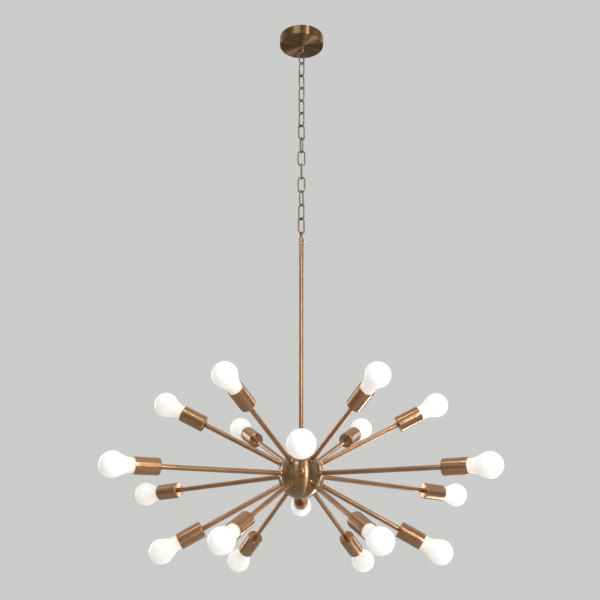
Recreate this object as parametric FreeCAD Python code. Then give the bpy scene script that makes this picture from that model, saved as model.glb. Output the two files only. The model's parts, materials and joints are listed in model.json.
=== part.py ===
import FreeCAD, Part
import math
import os

# Sputnik chandelier on a chain. Millimetres, +Z up, origin where the canopy's
# axis meets the ceiling. A light's azimuth is counted from -Y towards +X.

V = FreeCAD.Vector
ORIGIN = V(0, 0, 0)
X_AXIS = V(1, 0, 0)
Y_AXIS = V(0, 1, 0)
Z_AXIS = V(0, 0, 1)

# Threads and fits
thread_radius = 5.0  # the lamp thread that joins every tube
thread_bore = 3.5  # wire way through a threaded end
hole_clearance = 0.15  # radial room of a threaded end in a plain hole
slip_clearance = 0.3  # room between pieces that slide or swing
nut_flats = 14.0
nut_height = 4.0
tool_past = 1.0  # how far a cutting shape runs past a face

# Ceiling bar
bar_length = 110.0
bar_width = 20.0
bar_thickness = 2.0
bar_drop = 8.0  # how far the middle is set below the two ends
bar_middle = 34.0
bar_step = 8.0  # run of each sloped part
bar_corner = 4.0
slot_spacing = 79.4
slot_length = 14.6
slot_width = 4.6
ground_screw_offset = 11.0
ground_screw_radius = 1.9
ground_head_radius = 3.6
ground_head_height = 2.2
ground_screw_proud = 1.5  # screw end above the bar

# Canopy
canopy_radius = 62.5
canopy_height = 28.0
canopy_edge = 2.5
canopy_sheet = 1.0

# Eyes at the two ends of the chain
eye_radius = 6.5  # centreline of the ring
eye_wire = 2.0
canopy_eye_drop = 14.0  # canopy face to the centre of the eye
collar_radius = 6.5
collar_height = 9.5
collar_waist = 4.6
rod_grip = 6.0  # rod length inside the collar

# Chain
link_count = 14
link_length = 49.0
link_width = 22.0
link_wire = 2.0
first_turn = 45.0  # direction of the first link's plane
even_links = 6  # links below these ones lie twisted
twist_per_link = -12.5

# Stem
stem_radius = 6.0
stem_wall = 1.0
stem_length = 566.0
stem_neck_radius = 3.6  # between the eye and the shoulder on the tube
stem_shoulder = 3.0
stem_shoulder_slope = 1.5
stem_eye_rise = 15.5  # tube top to the centre of the eye
stem_plug = 16.0
set_screw_drop = 6.5
set_screw_radius = 2.0
set_head_radius = 3.5
set_head_height = 5.5
set_head_straight = 2.2  # part of the height below the dome
set_screw_tip = 1.0  # tip to the stem's axis
set_slot_width = 1.0
set_slot_depth = 1.2

# Hub
hub_radius = 57.0
hub_wall = 3.0
hub_opening = 24.0  # radius of the wiring hole under the hub
hub_cap_skirt = 7.0
hub_cap_bite = 1.0  # how far the skirt reaches into the cap's skin
hub_cap_wall = 2.0
seat_radius = 7.5  # collars between hub and arms
seat_height = 3.0
seat_chamfer = 0.6

# Arms
arm_radius = 6.0
arm_wall = 1.0
arm_end = 7.0  # solid-walled length at each end of the tube
long_arm = 310.0
short_arm = 210.0
thread_spare = 1.6  # thread that stands past a nut
rows = (
    # name, elevation, first azimuth, arm length
    ("upper", 27.0, 30.0, short_arm),
    ("middle", -2.0, 0.0, long_arm),
    ("lower", -29.0, 30.0, short_arm),
)
row_count = 6

# Cups and lampholders
cup_radius = 20.0
cup_length = 62.0
cup_sheet = 0.9
cup_edge = 2.5
holder_radius = 17.0
holder_base = 16.1
holder_depth = 28.0  # mouth of the lampholder above its floor
holder_grip = 9.0  # thread length inside the lampholder
holder_chamfer = 1.5
shell_wall = 0.7
shell_set_back = 1.0  # sleeve below the holder's mouth
shell_ledge = 5.2  # width of the turned-in rim on the lampholder's floor
contact_radius = 4.0
contact_height = 2.7

# Bulb
globe_radius = 30.0
globe_wall = 1.2
shoulder_angle = 25.0  # slope of the cone between globe and neck
shoulder_blend = 37.7
neck_radius = 17.4
neck_end = 56.0  # globe centre to the end of the opal envelope
cap_radius = 13.2
cap_start = 59.0
cap_end = 82.0
cap_flange = 1.0  # step between the glass neck and the cap
bulb_tip = 86.0  # globe centre to the tip of the contact
tip_radius = 4.5
tip_edge = 1.0

os.makedirs("parts", exist_ok=True)


def save(name, shapes):
    """Write one node, made of one solid or of several separate ones."""
    shapes = [s for shape in shapes for s in shape.Solids]
    Part.makeCompound(shapes).exportStep(f"parts/{name}.step")
    print(name, len(shapes), round(sum(s.Volume for s in shapes) / 1000, 2), "cm3")


def outline(points, place):
    """Closed wire; an item that holds a pair of points is an arc's middle and end."""
    edges = []
    last = points[0]
    for item in points[1:] + [points[0]]:
        if isinstance(item[0], tuple):
            middle, end = item
            edges.append(Part.Arc(place(last), place(middle), place(end)).toShape())
        else:
            end = item
            edges.append(Part.makeLine(place(last), place(end)))
        last = end
    return Part.Wire(edges)


def turned_x(points):
    """Solid turned about X from (x, radius) points."""
    face = Part.Face(outline(points, lambda p: V(p[0], 0, p[1])))
    return face.revolve(ORIGIN, X_AXIS, 360)


def turned_z(points):
    """Solid turned about Z from (radius, z) points."""
    face = Part.Face(outline(points, lambda p: V(p[0], 0, p[1])))
    return face.revolve(ORIGIN, Z_AXIS, 360)


def corner(cx, cy, radius, start, end):
    """Middle and end point of a round corner from one angle to another."""
    middle = math.radians((start + end) / 2)
    end = math.radians(end)
    return (
        (cx + radius * math.cos(middle), cy + radius * math.sin(middle)),
        (cx + radius * math.cos(end), cy + radius * math.sin(end)),
    )


def dome(base_x, radius, tip_x):
    """Arc from a round edge up to a tip on the X axis, part of a sphere on that axis."""
    rise = tip_x - base_x
    ball_radius = (radius**2 + rise**2) / (2 * abs(rise))
    way = math.copysign(ball_radius, rise)
    half = math.asin(radius / ball_radius) / 2
    return (tip_x - way * (1 - math.cos(half)), ball_radius * math.sin(half)), (tip_x, 0)


def aimed(shape, elevation, azimuth):
    """Turn a shape built along +X to a light's direction from the hub centre."""
    out = shape.copy()
    out.rotate(ORIGIN, Y_AXIS, -elevation)
    out.rotate(ORIGIN, Z_AXIS, azimuth - 90)
    out.translate(V(0, 0, hub_z))
    return out


def row_of(shape, elevation, first_azimuth):
    """One copy of a light's piece for each light of a row."""
    step = 360 / row_count
    return [aimed(shape, elevation, first_azimuth + step * i) for i in range(row_count)]


def hex_nut(start, flats, height):
    """Nut along X with its near face at start, holed for the lamp thread."""
    corner_radius = flats / 2 / math.cos(math.radians(30))
    points = []
    for i in range(7):
        a = math.radians(60 * i)
        points.append(V(start, corner_radius * math.cos(a), corner_radius * math.sin(a)))
    body = Part.Face(Part.makePolygon(points)).extrude(V(height, 0, 0))
    return body.cut(Part.makeCylinder(thread_radius + hole_clearance, height, V(start, 0, 0), X_AXIS))


# ---- Heights, from the ceiling down ----
rod_end_z = -canopy_height - rod_grip
canopy_eye_z = -canopy_height - canopy_eye_drop
swing_gap = eye_wire + link_wire + slip_clearance  # wire centre to wire centre
link_span = link_length - 2 * link_wire  # top wire to bottom wire of one link
link_pitch = link_span - (2 * link_wire + slip_clearance)
first_link_z = canopy_eye_z - eye_radius + swing_gap
last_wire_z = first_link_z - link_pitch * (link_count - 1) - link_span
stem_eye_z = last_wire_z + swing_gap - eye_radius
stem_top_z = stem_eye_z - stem_eye_rise
stem_bottom_z = stem_top_z - stem_length
hub_z = stem_bottom_z - seat_height - hub_radius


def link_turn(index):
    """Direction of a link's plane; each link crosses the one above it."""
    return first_turn + 90 * index + twist_per_link * max(0, index + 1 - even_links)


def eye_ring(turn, z):
    """Ring of round wire that stands upright, its plane at the given turn."""
    axis = V(-math.sin(math.radians(turn)), math.cos(math.radians(turn)), 0)
    return Part.makeTorus(eye_radius, eye_wire, V(0, 0, z), axis)


def ceiling_bar():
    """Strip with a lowered middle, a threaded-rod hole and two slots."""
    t = bar_thickness
    end = bar_length / 2
    mid = bar_middle / 2
    low = -bar_drop
    side = [(-end, 0), (-mid - bar_step, 0), (-mid, low), (mid, low), (mid + bar_step, 0), (end, 0)]
    lower = [(end, -t), (mid + bar_step - t / 2, -t), (mid - t / 2, low - t)]
    lower += [(-x, z) for x, z in reversed(lower)]
    points = [V(x, -bar_width / 2, z) for x, z in side + lower]
    bar = Part.Face(Part.makePolygon(points + [points[0]])).extrude(V(0, bar_width, 0))
    corners = [e for e in bar.Edges if abs(abs(e.CenterOfMass.x) - end) < 1e-6 and e.Length <= t]
    bar = bar.makeFillet(bar_corner, corners)
    rod_hole = Part.makeCylinder(thread_radius + hole_clearance, 3 * t, V(0, 0, low - 2 * t))
    bar = bar.cut(rod_hole)
    ground = V(ground_screw_offset, 0, low - 2 * t)
    bar = bar.cut(Part.makeCylinder(ground_screw_radius + hole_clearance, 3 * t, ground))
    straight = slot_length - slot_width
    for side_x in (-slot_spacing / 2, slot_spacing / 2):
        slot = Part.makeBox(straight, slot_width, 3 * t, V(side_x - straight / 2, -slot_width / 2, -2 * t))
        for x in (side_x - straight / 2, side_x + straight / 2):
            slot = slot.fuse(Part.makeCylinder(slot_width / 2, 3 * t, V(x, 0, -2 * t)))
        bar = bar.cut(slot)
    return bar


def standing(shape, z):
    """Stand a shape built along +X upright on a height."""
    out = shape.copy()
    out.rotate(ORIGIN, Y_AXIS, -90)
    out.translate(V(0, 0, z))
    return out


def canopy():
    """Drawn cup with a rounded lower edge, open to the ceiling."""
    r, h, e, t = canopy_radius, canopy_height, canopy_edge, canopy_sheet
    hole = thread_radius + hole_clearance
    return turned_z([
        (hole, -h),
        (r - e, -h),
        corner(r - e, -h + e, e, -90, 0),
        (r, 0),
        (r - t, 0),
        (r - t, -h + e),
        corner(r - e, -h + e, e - t, 0, -90),
        (hole, -h + t),
    ])


def canopy_loop():
    """Collar that screws onto the rod under the canopy, ending in an eye."""
    top = -canopy_height
    low = top - collar_height
    round_off = collar_radius - collar_waist
    collar = turned_z([
        (0, top),
        (collar_radius, top),
        (collar_radius, low + 2 * round_off),
        corner(collar_waist, low + 2 * round_off, round_off, 0, -90),
        (collar_waist, low),
        (0, low),
    ])
    body = collar.fuse(eye_ring(first_turn - 90, canopy_eye_z))
    rod_room = rod_grip + slip_clearance
    hole = Part.makeCylinder(thread_radius + hole_clearance, rod_room, V(0, 0, top - rod_room))
    return body.cut(hole)


def chain_link():
    """Stadium of round wire in the XZ plane, its top wire centred on the origin."""
    half = link_width / 2 - link_wire
    upper = V(0, 0, -half)
    lower = V(0, 0, -link_span + half)
    straight = link_span - 2 * half
    link = None
    for centre, flip in ((upper, 0), (lower, 180)):
        section = Part.Face(Part.Wire(Part.makeCircle(link_wire, centre + V(half, 0, 0), Z_AXIS)))
        bend = section.revolve(centre, V(0, -1, 0), 180)
        bend.rotate(centre, X_AXIS, flip)
        link = bend if link is None else link.fuse(bend)
    for x in (-half, half):
        link = link.fuse(Part.makeCylinder(link_wire, straight, lower + V(x, 0, 0)))
    return link.removeSplitter()


def stem_loop():
    """Eye on a turned neck, with a plug that the set screw holds in the stem."""
    top = stem_top_z
    plug_radius = stem_radius - stem_wall - hole_clearance
    neck_top = stem_eye_z - eye_radius
    neck = turned_z([
        (0, neck_top),
        (stem_neck_radius, neck_top),
        (stem_neck_radius, top + stem_shoulder + stem_shoulder_slope),
        (stem_radius, top + stem_shoulder),
        (stem_radius, top),
        (plug_radius, top),
        (plug_radius, top - stem_plug),
        (0, top - stem_plug),
    ])
    body = neck.fuse(eye_ring(link_turn(link_count), stem_eye_z))
    screw_z = top - set_screw_drop
    return body.cut(Part.makeCylinder(set_screw_radius, stem_radius, V(0, 0, screw_z), X_AXIS))


def set_screw():
    """Round-headed screw through the stem into the plug."""
    z = stem_top_z - set_screw_drop
    r = set_head_radius
    h = set_head_height
    screw = turned_x([
        (set_screw_tip, 0),
        (set_screw_tip, set_screw_radius),
        (stem_radius, set_screw_radius),
        (stem_radius, r),
        (stem_radius + set_head_straight, r),
        dome(stem_radius + set_head_straight, r, stem_radius + h),
    ])
    screw.translate(V(0, 0, z))
    slot_floor = V(stem_radius + h - set_slot_depth, -set_slot_width / 2, z - r)
    slot = Part.makeBox(h, set_slot_width, 2 * r, slot_floor)
    return screw.cut(slot)


def stem_tube():
    """Straight tube with a threaded end that enters the hub."""
    inner = stem_radius - stem_wall
    end = stem_bottom_z - seat_height - nut_seat_depth - nut_height - thread_spare
    tube = turned_z([
        (thread_bore, end),
        (thread_radius, end),
        (thread_radius, stem_bottom_z),
        (stem_radius, stem_bottom_z),
        (stem_radius, stem_top_z),
        (inner, stem_top_z),
        (inner, stem_bottom_z + arm_end),
        (thread_bore, stem_bottom_z + arm_end),
    ])
    z = stem_top_z - set_screw_drop
    return tube.cut(Part.makeCylinder(set_screw_radius + hole_clearance, 2 * stem_radius, V(0, 0, z), X_AXIS))


# ---- Hub, built round the origin with the lights along +X ----
nut_corner = nut_flats / 2 / math.cos(math.radians(30))
hub_inner = hub_radius - hub_wall
nut_seat = math.sqrt(hub_inner**2 - nut_corner**2)  # where a nut's corners touch the wall
nut_seat_depth = hub_radius - nut_seat


def ball(radius):
    return Part.makeSphere(radius)


def thread_hole(length):
    return Part.makeCylinder(thread_radius + hole_clearance, length, ORIGIN, X_AXIS)


def hub_shell():
    """Hollow ball with a hole for the stem, each arm and the wiring cap."""
    shell = ball(hub_radius).cut(ball(hub_inner))
    shell.translate(V(0, 0, hub_z))
    tools = [aimed(thread_hole(2 * hub_radius), 90, 0)]
    for name, elevation, first, length in rows:
        tools += row_of(thread_hole(2 * hub_radius), elevation, first)
    low = hub_radius + tool_past
    opening = Part.makeCylinder(hub_opening, low, V(0, 0, hub_z - low))
    return shell.cut(tools + [opening])


def hub_cap():
    """Piece of the same ball that closes the wiring hole, on a threaded skirt."""
    rim = hub_opening - hole_clearance
    rim_z = math.sqrt(hub_inner**2 - rim**2)
    disc = Part.makeCylinder(rim, hub_radius, V(0, 0, -hub_radius - tool_past))
    skin = ball(hub_radius).cut(ball(hub_inner)).common(disc)
    foot = V(0, 0, -rim_z - hub_cap_bite)
    skirt = Part.makeCylinder(rim, hub_cap_skirt, foot)
    skirt = skirt.cut(Part.makeCylinder(rim - hub_cap_wall, hub_cap_skirt, foot))
    cap = skin.fuse(skirt.common(ball(hub_radius))).removeSplitter()
    cap.translate(V(0, 0, hub_z))
    return cap


def seat():
    """Collar under an arm, hollowed to sit on the ball."""
    top = hub_radius + seat_height
    hole = thread_radius + hole_clearance
    ring = turned_x([
        (hub_radius - seat_height, hole),
        (hub_radius - seat_height, seat_radius),
        (top - seat_chamfer, seat_radius),
        (top, seat_radius - seat_chamfer),
        (top, hole),
    ])
    return ring.cut(ball(hub_radius))


def arm(length):
    """Tube with a threaded end through the hub wall and one through the cup."""
    start = hub_radius + seat_height
    end = start + length
    inner = arm_radius - arm_wall
    return turned_x([
        (nut_seat - nut_height - thread_spare, thread_bore),
        (nut_seat - nut_height - thread_spare, thread_radius),
        (start, thread_radius),
        (start, arm_radius),
        (end, arm_radius),
        (end, thread_radius),
        (end + cup_sheet + nut_height + holder_grip, thread_radius),
        (end + cup_sheet + nut_height + holder_grip, thread_bore),
        (end - arm_end, thread_bore),
        (end - arm_end, inner),
        (start + arm_end, inner),
        (start + arm_end, thread_bore),
    ])


# ---- One light, built along +X from the outside of its cup's floor ----
holder_start = cup_sheet + nut_height
holder_floor = holder_start + holder_base
shell_radius = cap_radius + slip_clearance + shell_wall
globe_centre = holder_floor + contact_height + slip_clearance + bulb_tip


def cup():
    """Spun cup with a rounded closed end and an open mouth."""
    r, e, t = cup_radius, cup_edge, cup_sheet
    hole = thread_radius + hole_clearance
    return turned_x([
        (0, hole),
        (0, r - e),
        corner(e, r - e, e, 180, 90),
        (cup_length, r),
        (cup_length, r - t),
        (e, r - t),
        corner(e, r - e, e - t, 90, 180),
        (t, hole),
    ])


def lampholder():
    """Thick-walled holder, threaded onto the arm's end below its floor."""
    mouth = holder_floor + holder_depth
    return turned_x([
        (holder_start, thread_radius + hole_clearance),
        (holder_start, holder_radius - holder_chamfer),
        (holder_start + holder_chamfer, holder_radius),
        (mouth, holder_radius),
        (mouth, shell_radius + hole_clearance),
        (holder_floor, shell_radius + hole_clearance),
        (holder_floor, 0),
        (holder_start + holder_grip + slip_clearance, 0),
        (holder_start + holder_grip + slip_clearance, thread_radius + hole_clearance),
    ])


def screw_shell():
    """Metal sleeve that takes the bulb's cap."""
    mouth = holder_floor + holder_depth - shell_set_back
    ledge = shell_radius - shell_ledge
    return turned_x([
        (holder_floor, ledge),
        (holder_floor, shell_radius),
        (mouth, shell_radius),
        (mouth, shell_radius - shell_wall),
        (holder_floor + shell_wall, shell_radius - shell_wall),
        (holder_floor + shell_wall, ledge),
    ])


def contact():
    """Domed spring tongue on the lampholder's floor."""
    rise = contact_height / 2
    top = holder_floor + contact_height
    return turned_x([
        (holder_floor, 0),
        (holder_floor, contact_radius),
        (holder_floor + rise, contact_radius),
        dome(holder_floor + rise, contact_radius, top),
    ])


def envelope_side(wall):
    """Bulb outline from the crown to the neck, moved inwards by a wall."""
    slope = math.radians(shoulder_angle)
    radius = globe_radius - wall
    blend = shoulder_blend + wall
    neck = neck_radius - wall
    # the cone leaves the globe where both have the same slope
    leave = (globe_centre - radius * math.sin(slope), radius * math.cos(slope))
    # the blend's centre stands straight out from where the blend meets the neck
    drop = leave[1] - neck - blend * (1 - math.cos(slope))
    start_x = leave[0] - drop / math.tan(slope)
    blend_x = start_x - blend * math.sin(slope)
    return [
        (globe_centre + radius, 0),
        corner(globe_centre, 0, radius, 0, 90 + shoulder_angle),
        (start_x, neck + blend * (1 - math.cos(slope))),
        corner(blend_x, neck + blend, blend, shoulder_angle - 90, -90),
        (globe_centre - neck_end, neck),
    ]


def reverse_outline(points):
    """The same outline run the other way, arcs included."""
    ends = [p[1] if isinstance(p[0], tuple) else p for p in points]
    out = [ends[-1]]
    for i in range(len(points) - 1, 0, -1):
        arc = isinstance(points[i][0], tuple)
        out.append((points[i][0], ends[i - 1]) if arc else ends[i - 1])
    return out


def envelope():
    return turned_x(envelope_side(0) + reverse_outline(envelope_side(globe_wall)))


def bulb_base():
    """Shoulder that closes the envelope, screw cap and contact tip."""
    c = globe_centre
    return turned_x([
        (c - neck_end, 0),
        (c - neck_end, neck_radius),
        (c - neck_end - cap_flange, neck_radius),
        (c - cap_start, cap_radius + cap_flange),
        (c - cap_start, cap_radius),
        (c - cap_end, cap_radius),
        (c - bulb_tip + 2 * tip_edge, tip_radius),
        (c - bulb_tip + tip_edge, tip_radius),
        dome(c - bulb_tip + tip_edge, tip_radius, c - bulb_tip),
    ])


def main():
    # Ceiling group
    bar_top = -bar_drop
    bar_under = bar_top - bar_thickness
    save("ceiling_bar", [ceiling_bar()])
    save("bar_top_nut", [standing(hex_nut(0, nut_flats, nut_height), bar_top)])
    save("bar_lock_nut", [standing(hex_nut(0, nut_flats, nut_height), bar_under - nut_height)])
    rod_top = bar_top + nut_height + thread_spare
    rod = Part.makeCylinder(thread_radius, rod_top - rod_end_z, V(0, 0, rod_end_z))
    save("hanging_rod", [rod.cut(Part.makeCylinder(thread_bore, rod_top - rod_end_z, V(0, 0, rod_end_z)))])
    canopy_inside = -canopy_height + canopy_sheet
    save("canopy_nut", [standing(hex_nut(0, nut_flats, nut_height), canopy_inside)])
    save("canopy", [canopy()])
    save("canopy_loop", [canopy_loop()])
    head_z = bar_under - ground_head_height
    ground = turned_z([
        (0, head_z),
        (ground_head_radius, head_z),
        (ground_head_radius, bar_under),
        (ground_screw_radius, bar_under),
        (ground_screw_radius, bar_top + ground_screw_proud),
        (0, bar_top + ground_screw_proud),
    ])
    ground.translate(V(ground_screw_offset, 0, 0))
    save("ground_screw", [ground])

    # Chain
    plain_link = chain_link()
    for i in range(link_count):
        link = plain_link.copy()
        link.rotate(ORIGIN, Z_AXIS, link_turn(i))
        link.translate(V(0, 0, first_link_z - link_pitch * i))
        save(f"chain_link_{i + 1:02d}", [link])

    # Stem and hub
    save("stem_loop", [stem_loop()])
    save("stem_set_screw", [set_screw()])
    save("stem_tube", [stem_tube()])
    save("hub_shell", [hub_shell()])
    save("hub_cap", [hub_cap()])
    nut = hex_nut(nut_seat - nut_height, nut_flats, nut_height)
    seats = [aimed(seat(), 90, 0)]
    hub_nuts = [aimed(nut, 90, 0)]
    for name, elevation, first, length in rows:
        seats += row_of(seat(), elevation, first)
        hub_nuts += row_of(nut, elevation, first)
    save("hub_collars", seats)
    save("hub_nuts", hub_nuts)

    # Lights
    cup_nuts, shells, contacts = [], [], []
    bulb = [envelope(), bulb_base()]
    number = 0
    for name, elevation, first, length in rows:
        reach = hub_radius + seat_height + length

        def lit(shape):
            moved = shape.copy()
            moved.translate(V(reach, 0, 0))
            return row_of(moved, elevation, first)

        save(f"arms_{name}", row_of(arm(length), elevation, first))
        save(f"cups_{name}", lit(cup()))
        save(f"lampholders_{name}", lit(lampholder()))
        cup_nuts += lit(hex_nut(cup_sheet, nut_flats, nut_height))
        shells += lit(screw_shell())
        contacts += lit(contact())
        for pieces in zip(*[lit(shape) for shape in bulb]):
            number += 1
            save(f"bulb_{number:02d}", pieces)
    save("cup_nuts", cup_nuts)
    save("screw_shells", shells)
    save("centre_contacts", contacts)


main()
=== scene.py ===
import json
import math

import bmesh
import bpy
from mathutils import Matrix, Vector


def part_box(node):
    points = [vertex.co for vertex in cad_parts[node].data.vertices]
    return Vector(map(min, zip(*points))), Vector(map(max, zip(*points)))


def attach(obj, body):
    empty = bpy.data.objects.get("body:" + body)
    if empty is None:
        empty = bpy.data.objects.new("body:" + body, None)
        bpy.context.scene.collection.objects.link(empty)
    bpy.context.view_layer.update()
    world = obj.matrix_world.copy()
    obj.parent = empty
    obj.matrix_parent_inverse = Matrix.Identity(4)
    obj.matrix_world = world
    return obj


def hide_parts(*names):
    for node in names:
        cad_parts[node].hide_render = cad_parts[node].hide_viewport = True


# Sputnik chandelier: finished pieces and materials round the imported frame. Metres, +Z up.

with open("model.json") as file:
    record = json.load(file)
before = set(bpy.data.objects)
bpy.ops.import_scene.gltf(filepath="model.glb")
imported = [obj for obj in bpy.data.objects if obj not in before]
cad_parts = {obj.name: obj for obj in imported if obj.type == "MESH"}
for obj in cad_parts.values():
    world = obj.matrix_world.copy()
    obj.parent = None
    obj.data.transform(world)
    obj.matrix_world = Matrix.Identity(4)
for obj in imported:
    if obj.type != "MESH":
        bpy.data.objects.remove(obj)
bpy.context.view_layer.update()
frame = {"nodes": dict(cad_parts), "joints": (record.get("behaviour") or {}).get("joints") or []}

# ---- Sizes ----
HUB_RADIUS = 0.057
COLLAR_RADIUS = 0.0075
COLLAR_HEIGHT = 0.003
COLLAR_EDGE = 0.0006
SEAT = HUB_RADIUS + COLLAR_HEIGHT  # from the hub's centre to the start of a tube
THREAD_RADIUS = 0.005
THREAD_BORE = 0.0035
TUBE_RADIUS = 0.006
SHORT_ARM = 0.210
LONG_ARM = 0.310
ARM_EDGE = 0.0003
ARM_THREADS = 0.0135  # threaded end inside the cup
STEM_LIP = 0.001  # width of the stem's open end face

CUP_RADIUS = 0.020
CUP_LENGTH = 0.062
CUP_SHEET = 0.0009
CUP_EDGE = 0.0025

# Along a light's axis, from the outside of its cup's floor
GLOBE_CENTRE = 0.1100
GLOBE_RADIUS = 0.030
SHOULDER_SLOPE = math.radians(25)
SHOULDER_BLEND = 0.0377
NECK_RADIUS = 0.0174
NECK_EDGE = 0.0008
NECK_OPENING = 0.010
CAP_RADIUS = 0.0132
THREAD_PITCH = 0.0036
THREAD_DEPTH = 0.0004
THREAD_FADE = 0.002  # length over which the thread rises and dies away
TIP_RADIUS = 0.0045
TIP_ROUND = 0.0055

# Along a light's axis: the ends of the neck, the screw cap, its thread and the contact
NECK_END = GLOBE_CENTRE - 0.056
CAP_START = GLOBE_CENTRE - 0.059
CAP_END = GLOBE_CENTRE - 0.082
THREAD_START = CAP_START - 0.003
THREAD_END = CAP_END + 0.0035
TIP_END = GLOBE_CENTRE - 0.086

# Points of the cap's outline, each as steps along and out from an end and a radius above
CAP_RIM = ((0, -0.0010), (-0.0008, -0.0016))
CAP_FLARE = ((0.0004, 0.0009), (0, 0))
CAP_TAPER = ((0.0012, -0.0008), (0, -0.0030))
TIP_FLANGE = ((0.0020, 0.0004), (0.0018, 0))

# Fineness of the turned meshes
TUBE_SIDES = 48
CUP_SIDES = 72
GLASS_SIDES = 80
TUBE_SPANS = 8
CUP_SPANS = 4
THREAD_SPANS = 44
SHARP_ANGLE = math.radians(35)

BULBS = [joint for joint in frame["joints"] if joint["name"].endswith("_unscrew")]
ROWS = ("upper", "middle", "lower")
LIGHTS_PER_ROW = 6
UP = (0, 0, 1)
low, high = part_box("hub_shell")
HUB_CENTRE = (low + high) / 2
STEM_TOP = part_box("stem_tube")[1].z
STEM_BOTTOM = HUB_CENTRE.z + SEAT


# ---- Mesh helpers ----
def arc(cx, cy, radius, start, end, steps):
    """Points of an arc, angles in degrees, both ends included."""
    angles = [math.radians(start + (end - start) * i / steps) for i in range(steps + 1)]
    return [(cx + radius * math.cos(a), cy + radius * math.sin(a)) for a in angles]


def offsets(x, radius, steps):
    """Outline points from small steps along and out."""
    return [(x + along_step, radius + out_step) for along_step, out_step in steps]


def lathe(name, profile, sides, looks=None, wave=None):
    """Mesh turned about X from (x, radius) points; looks gives each span's material index,
    and wave the change of radius at a place along and an angle."""
    bm = bmesh.new()
    rings = []
    for x, r in profile:
        if r < 1e-7:
            rings.append([bm.verts.new((x, 0, 0))] * sides)
            continue
        ring = []
        for i in range(sides):
            a = 2 * math.pi * i / sides
            at = r + (wave(x, a) if wave else 0)
            ring.append(bm.verts.new((x, at * math.cos(a), at * math.sin(a))))
        rings.append(ring)
    for span, (near, far) in enumerate(zip(rings, rings[1:])):
        for i in range(sides):
            j = (i + 1) % sides
            corners = []
            for v in (near[i], near[j], far[j], far[i]):
                if v not in corners:
                    corners.append(v)
            if len(corners) > 2:
                face = bm.faces.new(corners)
                face.material_index = looks[span] if looks else 0
    bmesh.ops.recalc_face_normals(bm, faces=bm.faces)
    mesh = bpy.data.meshes.new(name)
    bm.to_mesh(mesh)
    bm.free()
    return mesh


def sharpen(obj):
    """Hard edges where the surface turns sharply, smooth elsewhere."""
    for polygon in obj.data.polygons:
        polygon.use_smooth = True
    weld = obj.modifiers.new("Weld", "WELD")
    weld.merge_threshold = 1e-6
    split = obj.modifiers.new("Split", "EDGE_SPLIT")
    split.split_angle = SHARP_ANGLE


def piece(name, mesh, place, body, materials, stands_for):
    """One finished piece, put in place, riding on a body and shown for its CAD node."""
    obj = bpy.data.objects.new(name, mesh)
    bpy.context.scene.collection.objects.link(obj)
    if not mesh.materials:
        for material in materials:
            mesh.materials.append(material)
    obj.matrix_world = place
    sharpen(obj)
    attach(obj, body)
    for node in stands_for:
        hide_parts(node)
    return obj


def along(direction, distance):
    """Matrix that puts a piece built along +X on a ray from the hub's centre."""
    x = Vector(direction).normalized()
    side = Vector(UP).cross(x)
    y = side.normalized() if side.length > 1e-6 else Vector((0, 1, 0))
    z = x.cross(y)
    turn = Matrix((x, y, z)).transposed().to_4x4()
    return Matrix.Translation(HUB_CENTRE + x * distance) @ turn


# ---- Materials ----
PATINA_WAVES = 14  # all waves are per metre
RUBBED_WAVES = 80
CLOUD_WAVES = 60
RIPPLE_WAVES = 35
MOTTLE_WAVES = 140
WORN_EDGE = 0.0006
LACQUER_ROUGHNESS = 0.12
OPAL_GLOW = 0.42
RING_DRIFT = 0.02  # how much of a turned ring's noise changes round the ring
SMALL_RELIEF = 0.0002
GLASS_RELIEF = 0.0003
NOISE_RANGE = (0.3, 0.7)  # where most of a noise's values lie

# From low, from high, to low, to high
PATINA_TO_DARK = (0.35, 0.70, 0, 0.45)
BRUSH_TO_DARK = (0.35, 0.75, 0, 0.35)
RUBBED_TO_WORN = (0.50, 0.68, 0, 0.7)
BEND_TO_EDGE = (0.995, 0.90, 0, 1)
PLACE_TO_NECK = (NECK_END, GLOBE_CENTRE - 0.020, 1, 0)


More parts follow.
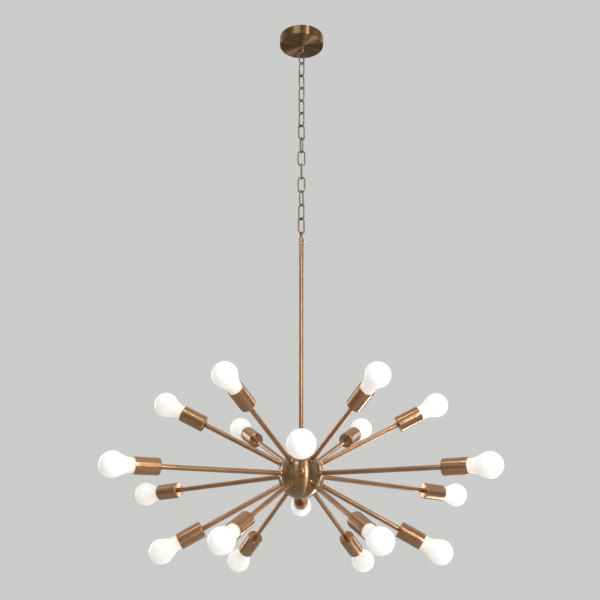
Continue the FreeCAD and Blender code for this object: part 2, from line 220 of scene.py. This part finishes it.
class Look:
    """A material whose nodes are added and joined by short calls."""

    def __init__(self, name):
        self.material = bpy.data.materials.new(name)
        self.material.use_nodes = True
        self.tree = self.material.node_tree
        self.tree.nodes.clear()
        self.shader = self.add("ShaderNodeBsdfPrincipled")
        output = self.add("ShaderNodeOutputMaterial")
        self.join(self.shader, "BSDF", output, "Surface")

    def add(self, kind, inputs=None, **settings):
        node = self.tree.nodes.new(kind)
        for key, value in settings.items():
            setattr(node, key, value)
        for key, value in (inputs or {}).items():
            node.inputs[key].default_value = value
        return node

    def join(self, source, output, target, socket):
        self.tree.links.new(source.outputs[output], target.inputs[socket])

    def set(self, **values):
        for key, value in values.items():
            self.shader.inputs[key.replace("_", " ")].default_value = value

    def noise(self, waves, detail):
        """Noise in the object's own coordinates."""
        place = self.add("ShaderNodeTexCoord")
        noise = self.add("ShaderNodeTexNoise", {"Scale": waves, "Detail": detail, "Roughness": 0.55})
        self.join(place, "Object", noise, "Vector")
        return noise

    def turned(self, axis, waves):
        """Fine rings about an axis, as a lathe leaves them: noise of radius and height, with
        a slow drift round each ring."""
        place = self.add("ShaderNodeTexCoord")
        split = self.add("ShaderNodeSeparateXYZ")
        self.join(place, "Object", split, "Vector")
        across = [name for name in "XYZ" if name != axis]
        flat = self.add("ShaderNodeCombineXYZ")
        self.join(split, across[0], flat, "X")
        self.join(split, across[1], flat, "Y")
        radius = self.add("ShaderNodeVectorMath", operation="LENGTH")
        self.join(flat, "Vector", radius, 0)
        drift = self.add("ShaderNodeVectorMath", {"Scale": RING_DRIFT}, operation="SCALE")
        self.join(place, "Object", drift, 0)
        rings = self.add("ShaderNodeCombineXYZ")
        self.join(radius, "Value", rings, "X")
        self.join(split, axis, rings, "Y")
        moved = self.add("ShaderNodeVectorMath", operation="ADD")
        self.join(rings, "Vector", moved, 0)
        self.join(drift, "Vector", moved, 1)
        noise = self.add("ShaderNodeTexNoise", {"Scale": waves, "Detail": 3, "Roughness": 0.6})
        self.join(moved, "Vector", noise, "Vector")
        return noise

    def ranged(self, source, output, low, high, to_low, to_high):
        node = self.add("ShaderNodeMapRange", {1: low, 2: high, 3: to_low, 4: to_high})
        self.join(source, output, node, "Value")
        return node

    def edges(self, radius):
        """1 on convex and concave edges, 0 on open faces."""
        bevel = self.add("ShaderNodeBevel", {"Radius": radius}, samples=4)
        shape = self.add("ShaderNodeNewGeometry")
        dot = self.add("ShaderNodeVectorMath", operation="DOT_PRODUCT")
        self.join(bevel, "Normal", dot, 0)
        self.join(shape, "Normal", dot, 1)
        return self.ranged(dot, "Value", *BEND_TO_EDGE)

    def blend(self, factor, output, first, second):
        """Mix of two colours, each a value or an earlier mix, by a factor node."""
        mix = self.add("ShaderNodeMix", data_type="RGBA")
        self.join(factor, output, mix, 0)
        for socket, colour in ((6, first), (7, second)):
            if isinstance(colour, bpy.types.Node):
                self.join(colour, 2, mix, socket)
            else:
                mix.inputs[socket].default_value = (*colour, 1)
        return mix

    def colour(self, mix, socket="Base Color"):
        """A mix as one of the shader's colours."""
        self.join(mix, 2, self.shader, socket)

    def roughen(self, noise, smooth, rough):
        """Roughness between two values, by a noise."""
        spread = self.ranged(noise, "Fac", *NOISE_RANGE, smooth, rough)
        self.join(spread, "Result", self.shader, "Roughness")

    def relief(self, noise, strength, distance=SMALL_RELIEF):
        """Shallow relief, by a noise."""
        bump = self.add("ShaderNodeBump", {"Strength": strength, "Distance": distance})
        self.join(noise, "Fac", bump, "Height")
        self.join(bump, "Normal", self.shader, "Normal")


def metal(name, colours, rough, waves, bump, around=None, flow=0.0, lacquer=0.0, wire=False):
    """Metal with a fine finish, slow patina and lighter wear, on edges or, on wire, in rubbed
    patches. Colours are bright, dark and worn; rough is a range and waves the finish's. Around
    is the axis it was turned about, flow how far its shine is drawn out round that axis, and
    lacquer the weight of a clear coat."""
    bright, dark, worn = colours
    look = Look(name)
    brush = look.turned(around, waves) if around else look.noise(waves, 4)
    patina = look.ranged(look.noise(PATINA_WAVES, 2), "Fac", *PATINA_TO_DARK)
    base = look.blend(patina, "Result", bright, dark)
    streak = look.ranged(brush, "Fac", *BRUSH_TO_DARK)
    base = look.blend(streak, "Result", base, dark)
    if wire:
        wear = look.ranged(look.noise(RUBBED_WAVES, 1), "Fac", *RUBBED_TO_WORN)
    else:
        wear = look.edges(WORN_EDGE)
    look.colour(look.blend(wear, "Result", base, worn))
    look.roughen(brush, *rough)
    look.relief(brush, bump)
    look.set(Metallic=1.0, Coat_Weight=lacquer, Coat_Roughness=LACQUER_ROUGHNESS)
    if around:
        look.set(Anisotropic=flow, Anisotropic_Rotation=0.25)
        tangent = look.add("ShaderNodeTangent", direction_type="RADIAL", axis=around)
        look.join(tangent, "Tangent", look.shader, "Tangent")
    return look.material


def opal(name):
    """Lit opal glass: an even milky glow, a little warmer and dimmer towards the neck."""
    look = Look(name)
    cloud = look.noise(CLOUD_WAVES, 2)
    place = look.add("ShaderNodeTexCoord")
    split = look.add("ShaderNodeSeparateXYZ")
    look.join(place, "Object", split, "Vector")
    neck = look.ranged(split, "X", *PLACE_TO_NECK)
    milk = look.blend(cloud, "Fac", (0.82, 0.81, 0.79), (0.78, 0.77, 0.75))
    look.colour(look.blend(neck, "Result", milk, (0.76, 0.70, 0.60)))
    look.roughen(cloud, 0.22, 0.30)
    look.relief(look.noise(RIPPLE_WAVES, 1), 0.05, GLASS_RELIEF)
    glow = look.blend(neck, "Result", (1.0, 0.98, 0.94), (1.0, 0.86, 0.66))
    look.colour(glow, "Emission Color")
    look.set(Emission_Strength=OPAL_GLOW)
    return look.material


def glazed(name, colour, shade, smooth):
    """Plain fired or moulded surface with faint mottling."""
    look = Look(name)
    mottle = look.noise(MOTTLE_WAVES, 4)
    look.colour(look.blend(mottle, "Fac", colour, shade))
    look.roughen(mottle, smooth, smooth + 0.15)
    look.relief(mottle, 0.1)
    return look.material


# Colours of each metal: bright, dark, worn
BRONZE = ((0.47, 0.255, 0.125), (0.26, 0.125, 0.054), (0.74, 0.50, 0.30))
# Collars: the same bronze painted lighter, a painted highlight on the short collars round the ball
COLLAR_PAINTED_HIGHLIGHT = (BRONZE[2], BRONZE[0], BRONZE[2])
# Hub: the same bronze painted darker and more saturated, painted shade standing in for dark reflections on
# the ball
HUB_PAINTED_SHADE = ((0.38, 0.215, 0.090), (0.20, 0.095, 0.028), BRONZE[2])
# Canopy: a slightly yellower tone of the same metal, painted darker as painted shade, since it hangs far
# from the lamps
GOLD_PAINTED_SHADE = ((0.28, 0.178, 0.090), (0.13, 0.072, 0.031), (0.52, 0.38, 0.23))
CHAIN = ((0.24, 0.190, 0.150), (0.14, 0.105, 0.080), (0.38, 0.32, 0.26))
EYE = ((0.58, 0.35, 0.21), BRONZE[1], BRONZE[2])
LOOP = ((0.40, 0.275, 0.205), CHAIN[1], CHAIN[2])
STEEL = ((0.56, 0.56, 0.57), (0.36, 0.36, 0.37), (0.75, 0.75, 0.76))
SCREW = ((0.80, 0.80, 0.79), (0.62, 0.61, 0.60), STEEL[2])
BRASS = ((0.66, 0.50, 0.24), (0.42, 0.29, 0.12), (0.80, 0.66, 0.38))
NICKEL = ((0.68, 0.66, 0.62), (0.50, 0.48, 0.45), (0.82, 0.81, 0.78))

tube_metal = metal("tube_bronze", BRONZE, (0.25, 0.30), 4000, 0.01, "X", 0.90, 0.6)
cup_metal = metal("cup_bronze", BRONZE, (0.26, 0.32), 4000, 0.01, "X", 0.95, 0.6)
# Collar bronze painted lighter: a painted highlight
collar_metal = metal("collar_bronze_painted_highlight", COLLAR_PAINTED_HIGHLIGHT, (0.12, 0.22), 900, 0.04, "X", 0.4)
# Hub bronze painted darker: painted shade
hub_metal = metal("hub_bronze_painted_shade", HUB_PAINTED_SHADE, (0.38, 0.43), 2500, 0.01, "Z", 1.0, 1.0)
# Canopy gold painted darker: partly its own yellower tone, partly painted shade
canopy_metal = metal("canopy_gold_painted_shade", GOLD_PAINTED_SHADE, (0.34, 0.42), 1200, 0.02, "Z", 1.0)
chain_metal = metal("chain_dull", CHAIN, (0.38, 0.48), 160, 0.02, wire=True)
eye_metal = metal("eye_bronze", EYE, (0.34, 0.42), 160, 0.02, wire=True)
loop_metal = metal("loop_bronze", LOOP, (0.34, 0.44), 160, 0.02, wire=True)
steel = metal("zinc_steel", STEEL, (0.25, 0.45), 260, 0.12)
screw_bright = metal("screw_bright", SCREW, (0.10, 0.20), 700, 0.05)
contact_metal = metal("contact_brass", BRASS, (0.22, 0.40), 500, 0.12)
cap_metal = metal("cap_nickel", NICKEL, (0.20, 0.34), 900, 0.08)
opal_glass = opal("opal_lit")
holder_ceramic = glazed("holder_ceramic", (0.72, 0.70, 0.66), (0.60, 0.58, 0.54), 0.35)
insulator = glazed("black_insulator", (0.03, 0.03, 0.035), (0.015, 0.015, 0.018), 0.18)

# ---- CAD nodes that keep their shape ----
KEPT = {
    "canopy": canopy_metal,
    "canopy_loop": eye_metal,
    "stem_loop": loop_metal,
    "hub_shell": hub_metal,
    "hub_cap": hub_metal,
    "ceiling_bar": steel,
    "bar_top_nut": steel,
    "bar_lock_nut": steel,
    "hanging_rod": steel,
    "canopy_nut": steel,
    "ground_screw": steel,
    "hub_nuts": steel,
    "cup_nuts": steel,
    "screw_shells": contact_metal,
    "centre_contacts": contact_metal,
    "stem_set_screw": screw_bright,
}
for row in ROWS:
    KEPT[f"lampholders_{row}"] = holder_ceramic
for node in frame["nodes"]:
    if node.startswith("chain_link_"):
        KEPT[node] = chain_metal
for node, material in KEPT.items():
    obj = frame["nodes"][node]
    obj.data.materials.clear()
    obj.data.materials.append(material)
    sharpen(obj)


# ---- Tubes, collars, cups and bulbs ----
def tube_mesh(name, length, inner_thread, outer_thread):
    """Tube with a small round on each end, a threaded stub before it and, on an arm, after."""
    e = ARM_EDGE
    profile = [
        (-inner_thread, THREAD_BORE),
        (-inner_thread, THREAD_RADIUS),
        (0, THREAD_RADIUS),
        (0, TUBE_RADIUS - e),
        *arc(e, TUBE_RADIUS - e, e, 180, 90, 3)[1:],
        *[(length * i / TUBE_SPANS, TUBE_RADIUS) for i in range(1, TUBE_SPANS)],
        *arc(length - e, TUBE_RADIUS - e, e, 90, 0, 3),
    ]
    if outer_thread:
        profile += [
            (length, THREAD_RADIUS),
            (length + outer_thread, THREAD_RADIUS),
            (length + outer_thread, THREAD_BORE),
        ]
    else:
        profile += [(length, TUBE_RADIUS - STEM_LIP)]
    return lathe(name, profile, TUBE_SIDES)


def collar_mesh():
    """Turned collar that sits on the ball, with its outer edge rounded."""
    sit = math.sqrt(HUB_RADIUS**2 - COLLAR_RADIUS**2) - HUB_RADIUS
    e = COLLAR_EDGE
    return lathe("collar", [
        (0, THREAD_RADIUS),
        (sit, COLLAR_RADIUS),
        *arc(COLLAR_HEIGHT - e, COLLAR_RADIUS - e, e, 90, 0, 4),
        (COLLAR_HEIGHT, THREAD_RADIUS),
    ], TUBE_SIDES)


def cup_mesh():
    """Spun cup: rounded closed end, straight wall, rounded lip."""
    lip = CUP_SHEET / 2
    inside = CUP_RADIUS - CUP_SHEET
    wall = CUP_LENGTH - lip - CUP_EDGE
    return lathe("cup", [
        (0, THREAD_RADIUS),
        (0, CUP_RADIUS - CUP_EDGE),
        *arc(CUP_EDGE, CUP_RADIUS - CUP_EDGE, CUP_EDGE, 180, 90, 8)[1:],
        *[(CUP_EDGE + wall * i / CUP_SPANS, CUP_RADIUS) for i in range(1, CUP_SPANS)],
        *arc(CUP_LENGTH - lip, CUP_RADIUS - lip, lip, 90, -90, 6),
        (CUP_EDGE, inside),
        (CUP_SHEET, inside - CUP_EDGE + CUP_SHEET),
        (CUP_SHEET, THREAD_RADIUS),
    ], CUP_SIDES)


def bulb_glass_mesh():
    """Opal envelope: globe, cone and neck in one smooth outline."""
    slope = SHOULDER_SLOPE
    leave_x = GLOBE_CENTRE - GLOBE_RADIUS * math.sin(slope)
    leave_r = GLOBE_RADIUS * math.cos(slope)
    rise = SHOULDER_BLEND * (1 - math.cos(slope))
    start_x = leave_x - (leave_r - NECK_RADIUS - rise) / math.tan(slope)
    blend_x = start_x - SHOULDER_BLEND * math.sin(slope)
    profile = arc(GLOBE_CENTRE, 0, GLOBE_RADIUS, 0, 90 + math.degrees(slope), 40)
    profile[0] = (GLOBE_CENTRE + GLOBE_RADIUS, 0)
    profile += arc(blend_x, NECK_RADIUS + SHOULDER_BLEND, SHOULDER_BLEND,
                   math.degrees(slope) - 90, -90, 8)
    profile += [
        (NECK_END + NECK_EDGE, NECK_RADIUS),
        (NECK_END, NECK_RADIUS - NECK_EDGE),
        (NECK_END, NECK_OPENING),
    ]
    return lathe("bulb_glass", profile, GLASS_SIDES)


def thread(x, angle):
    """Change of the cap's radius that rolls its thread into it."""
    fade = min(1, max(0, (THREAD_START - x) / THREAD_FADE), max(0, (x - THREAD_END) / THREAD_FADE))
    turn = 2 * math.pi * x / THREAD_PITCH - angle
    return THREAD_DEPTH * fade * (math.cos(turn) - 1)


def bulb_cap_mesh():
    """Screw cap with its rolled thread, black insulator and contact."""
    reach = THREAD_END - THREAD_START
    profile = [
        *offsets(NECK_END, NECK_RADIUS, CAP_RIM),
        *offsets(CAP_START, CAP_RADIUS, CAP_FLARE),
        *[(THREAD_START + reach * i / THREAD_SPANS, CAP_RADIUS) for i in range(THREAD_SPANS + 1)],
        *offsets(CAP_END, CAP_RADIUS, CAP_TAPER),
    ]
    metal_spans = len(profile) - 1
    profile += [
        *offsets(TIP_END, TIP_RADIUS, TIP_FLANGE),
        *arc(TIP_END + TIP_ROUND, 0, TIP_ROUND, 125, 180, 6),
    ]
    profile[-1] = (TIP_END, 0)
    looks = [0] * metal_spans + [1] + [0] * (len(profile) - 2 - metal_spans)
    return lathe("bulb_cap", profile, TUBE_SIDES, looks, thread)


collar_shape = collar_mesh()
cup_shape = cup_mesh()
short_tube = tube_mesh("short_arm", SHORT_ARM, COLLAR_HEIGHT, ARM_THREADS)
long_tube = tube_mesh("long_arm", LONG_ARM, COLLAR_HEIGHT, ARM_THREADS)
stem_shape = tube_mesh("stem", STEM_TOP - STEM_BOTTOM, COLLAR_HEIGHT, 0)
glass_shape = bulb_glass_mesh()
cap_shape = bulb_cap_mesh()


def lamp_piece(name, mesh, place, material, node):
    """A finished metal piece of the lamp's body."""
    piece(name, mesh, place, "lamp", [material], [node])


for index, joint in enumerate(BULBS):
    row = ROWS[index // LIGHTS_PER_ROW]
    number = f"{index + 1:02d}"
    direction = joint["axis"]
    length, tube = (LONG_ARM, long_tube) if row == "middle" else (SHORT_ARM, short_tube)
    at_cup = along(direction, SEAT + length)
    lamp_piece(f"collar_{number}", collar_shape, along(direction, HUB_RADIUS), collar_metal, "hub_collars")
    lamp_piece(f"arm_{number}", tube, along(direction, SEAT), tube_metal, f"arms_{row}")
    lamp_piece(f"cup_{number}", cup_shape, at_cup, cup_metal, f"cups_{row}")
    bulb = f"bulb_{number}"
    piece(f"{bulb}_glass", glass_shape, at_cup, bulb, [opal_glass], [bulb])
    piece(f"{bulb}_cap", cap_shape, at_cup, bulb, [cap_metal, insulator], [bulb])

lamp_piece("collar_stem", collar_shape, along(UP, HUB_RADIUS), collar_metal, "hub_collars")
lamp_piece("stem_tube_finished", stem_shape, along(UP, SEAT), tube_metal, "stem_tube")

# ---- Stage ----
FLOOR_Z = -2.30
FLOOR_HALF = 30
STAGE_PALE = (0.70, 0.70, 0.69)
EVEN_LIGHT = 0.42
BACKGROUND = 0.86
PANELS = 6  # soft panels round the room, seen only in reflections
PANEL_TURN = 1.2  # shift of the panels round the room, in radians of their wave
PANEL_SOFT = 0.5  # softness of their edges
PANEL_GAP = 0.14  # brightness between two panels
CEILING_GLOW = 0.9  # how much brighter the room is overhead

# Name, place, what it points at, width, height, power
LAMP_MIDDLE = (0, 0, HUB_CENTRE.z + 0.3)
CANOPY = (0, 0, 0)
LIGHTS = (
    ("key", (1.30, -2.4, -0.7), LAMP_MIDDLE, 0.34, 2.6, 46),
    ("high", (-0.90, -1.95, 1.5), CANOPY, 1.3, 0.9, 22),
    ("left", (-2.25, 1.3, -0.7), LAMP_MIDDLE, 0.40, 1.8, 12),
    ("right", (2.25, 1.3, -0.7), LAMP_MIDDLE, 0.40, 1.8, 12),
    ("fan", (0.95, 0.95, -2.0), CANOPY, 0.6, 0.6, 9),
)


def stage_floor():
    """Pale floor of the room below the lamp."""
    bm = bmesh.new()
    bmesh.ops.create_grid(bm, x_segments=1, y_segments=1, size=FLOOR_HALF)
    mesh = bpy.data.meshes.new("floor")
    bm.to_mesh(mesh)
    bm.free()
    floor = bpy.data.objects.new("floor", mesh)
    bpy.context.scene.collection.objects.link(floor)
    floor.location.z = FLOOR_Z
    look = Look("floor_pale")
    look.set(Base_Color=(*STAGE_PALE, 1), Roughness=0.9)
    mesh.materials.append(look.material)


def soft_light(name, place, aim, wide, tall, power):
    """Soft rectangular light that points at a place."""
    data = bpy.data.lights.new(name, "AREA")
    data.shape = "RECTANGLE"
    data.size = wide
    data.size_y = tall
    data.energy = power
    light = bpy.data.objects.new(name, data)
    bpy.context.scene.collection.objects.link(light)
    light.location = place
    light.rotation_mode = "QUATERNION"
    light.rotation_quaternion = (Vector(aim) - Vector(place)).to_track_quat("-Z", "Y")


def world_light():
    """Three worlds in one: an even light for matt surfaces, a plain pale background for the
    camera, and for mirrored rays a room of soft panels with darker gaps between them."""
    world = bpy.data.worlds.new("studio")
    bpy.context.scene.world = world
    world.use_nodes = True
    tree = world.node_tree
    tree.nodes.clear()

    def math_node(operation, *values):
        node = tree.nodes.new("ShaderNodeMath")
        node.operation = operation
        for socket, value in zip(node.inputs, values):
            if isinstance(value, bpy.types.NodeSocket):
                tree.links.new(value, socket)
            else:
                socket.default_value = value
        return node.outputs[0]

    def background_node(shade):
        node = tree.nodes.new("ShaderNodeBackground")
        node.inputs["Color"].default_value = (*STAGE_PALE, 1)
        if isinstance(shade, bpy.types.NodeSocket):
            tree.links.new(shade, node.inputs["Strength"])
        else:
            node.inputs["Strength"].default_value = shade
        return node.outputs[0]

    def mixed(factor, first, second):
        node = tree.nodes.new("ShaderNodeMixShader")
        for socket, value in zip(node.inputs, (factor, first, second)):
            tree.links.new(value, socket)
        return node.outputs[0]

    place = tree.nodes.new("ShaderNodeTexCoord")
    split = tree.nodes.new("ShaderNodeSeparateXYZ")
    tree.links.new(place.outputs["Generated"], split.inputs[0])
    round_angle = math_node("ARCTAN2", split.outputs["Y"], split.outputs["X"])
    turn = math_node("ADD", math_node("MULTIPLY", round_angle, PANELS), PANEL_TURN)
    edge = tree.nodes.new("ShaderNodeMapRange")
    edge.interpolation_type = "SMOOTHSTEP"
    tree.links.new(math_node("COSINE", turn), edge.inputs["Value"])
    for socket, value in ((1, -PANEL_SOFT), (2, PANEL_SOFT), (3, PANEL_GAP), (4, 1.0)):
        edge.inputs[socket].default_value = value
    above = math_node("MULTIPLY", math_node("MAXIMUM", split.outputs["Z"], 0.0), CEILING_GLOW)
    mirrored = math_node("MINIMUM", math_node("ADD", edge.outputs[0], above), 1.0)

    path = tree.nodes.new("ShaderNodeLightPath")
    glossy = math_node("MAXIMUM", path.outputs["Is Glossy Ray"], path.outputs["Is Transmission Ray"])
    shown = mixed(glossy, background_node(EVEN_LIGHT), background_node(mirrored))
    shown = mixed(path.outputs["Is Camera Ray"], shown, background_node(BACKGROUND))
    output = tree.nodes.new("ShaderNodeOutputWorld")
    tree.links.new(shown, output.inputs["Surface"])


stage_floor()
for light in LIGHTS:
    soft_light(*light)
world_light()

# ---- Camera, matched to the eighteen globes in the photograph ----
CAMERA_BACK = 2.2817  # from the lamp's axis
CAMERA_ASIDE = -0.0018
CAMERA_BELOW_HUB = 0.3598
CAMERA_PITCH = math.radians(19.59)
CAMERA_ROLL = math.radians(-0.10)
SENSOR_WIDTH = 36
FOCAL_PIXELS = 927.9
FRAME_PIXELS = 600

camera_data = bpy.data.cameras.new("camera")
camera_data.sensor_width = SENSOR_WIDTH
camera_data.lens = SENSOR_WIDTH * FOCAL_PIXELS / FRAME_PIXELS
camera = bpy.data.objects.new("camera", camera_data)
bpy.context.scene.collection.objects.link(camera)
camera.location = (CAMERA_ASIDE, -CAMERA_BACK, HUB_CENTRE.z - CAMERA_BELOW_HUB)
camera.rotation_euler = (math.pi / 2 + CAMERA_PITCH, CAMERA_ROLL, 0)
bpy.context.scene.camera = camera
bpy.context.scene.view_settings.view_transform = "Standard"
